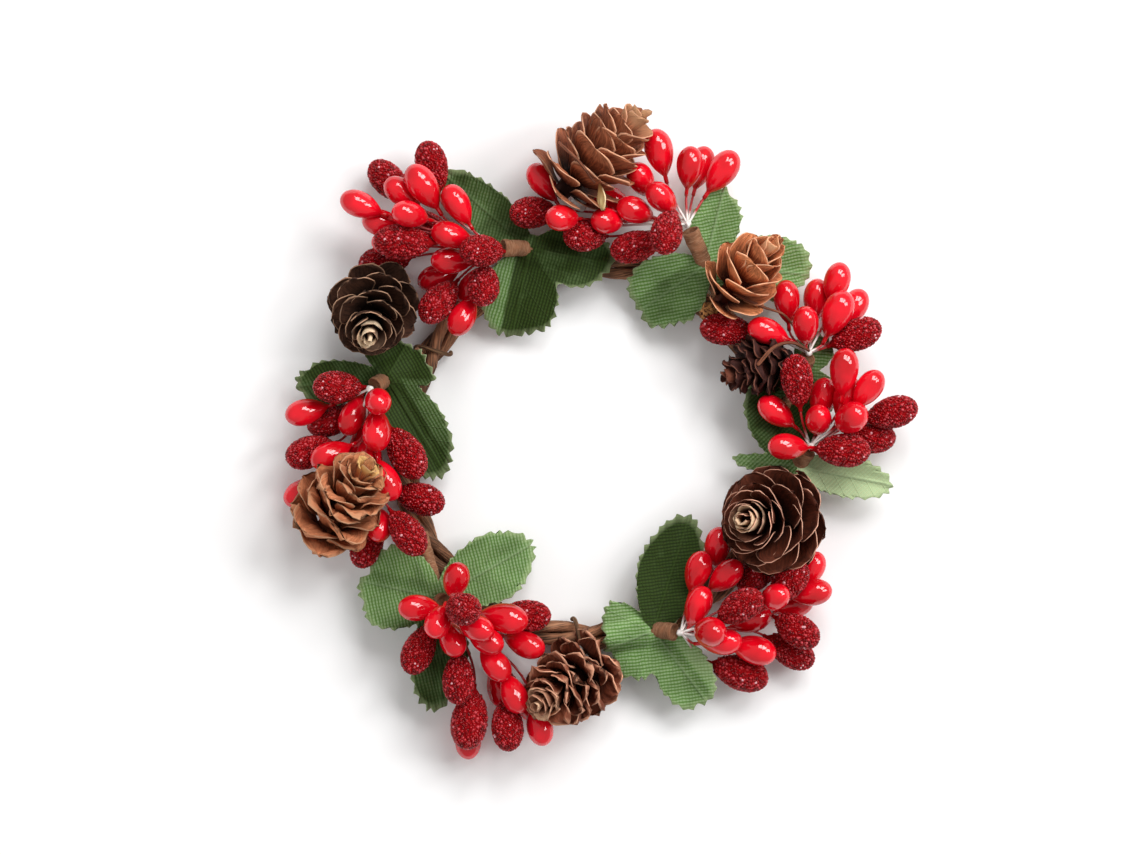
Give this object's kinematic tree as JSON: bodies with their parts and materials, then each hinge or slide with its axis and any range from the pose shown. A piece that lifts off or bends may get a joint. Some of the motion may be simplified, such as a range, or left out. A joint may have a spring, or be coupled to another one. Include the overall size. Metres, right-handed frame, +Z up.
{
  "type": "pinecone wreath",
  "caption": "Small round decorative wreath: a twisted vine ring dressed with open pine cones, fabric leaves and sprays of glossy and sugared red berries.",
  "frame": {"origin": "middle of the underside of the whole wreath, where the vine rests", "axes": "+Z up out of the dressed face; +Y towards the top of the wreath as seen from above, +X to its right"},
  "size_m": [0.1762, 0.1806, 0.038],
  "materials": {
    "vine": "dry grey-brown bark, matt",
    "tape": "brown crepe florist's tape, matt",
    "leaf": "starched green weave, faint sheen",
    "lacquer": "thick clear red lacquer, high gloss",
    "sugar": "dark red under clear pink sugar-like grains",
    "cone": "dry woody scales, matt",
    "glue": "cloudy translucent hot-melt glue"
  },
  "bodies": {
    "root": {"vine_tendril_1": "vine", "vine_tendril_2": "vine", "vine_strand_1": "vine", "vine_strand_2": "vine", "vine_strand_3": "vine", "stem_1": "tape", "stem_2": "tape", "stem_3": "tape", "stem_4": "tape", "stem_5": "tape", "stem_6": "tape", "stem_7": "tape", "leaf_1": "leaf", "leaf_2": "leaf", "leaf_3": "leaf", "leaf_4": "leaf", "leaf_5": "leaf", "leaf_6": "leaf", "leaf_7": "leaf", "glossy_berries_1": "lacquer", "glossy_berries_2": "lacquer", "glossy_berries_3": "lacquer", "glossy_berries_4": "lacquer", "glossy_berries_5": "lacquer", "glossy_berries_6": "lacquer", "glossy_berries_7": "lacquer", "frosted_berries_1": "sugar", "frosted_berries_2": "sugar", "frosted_berries_3": "sugar", "frosted_berries_4": "sugar", "frosted_berries_5": "sugar", "frosted_berries_6": "sugar", "frosted_berries_7": "sugar", "cone_1": "cone", "cone_2": "cone", "cone_3": "cone", "cone_4": "cone", "cone_5": "cone", "cone_6": "cone", "cone_7": "cone", "cone_glue_1": "glue", "cone_glue_2": "glue", "cone_glue_3": "glue", "cone_glue_4": "glue", "cone_glue_5": "glue", "cone_glue_6": "glue", "cone_glue_7": "glue"}
  },
  "joints": []
}
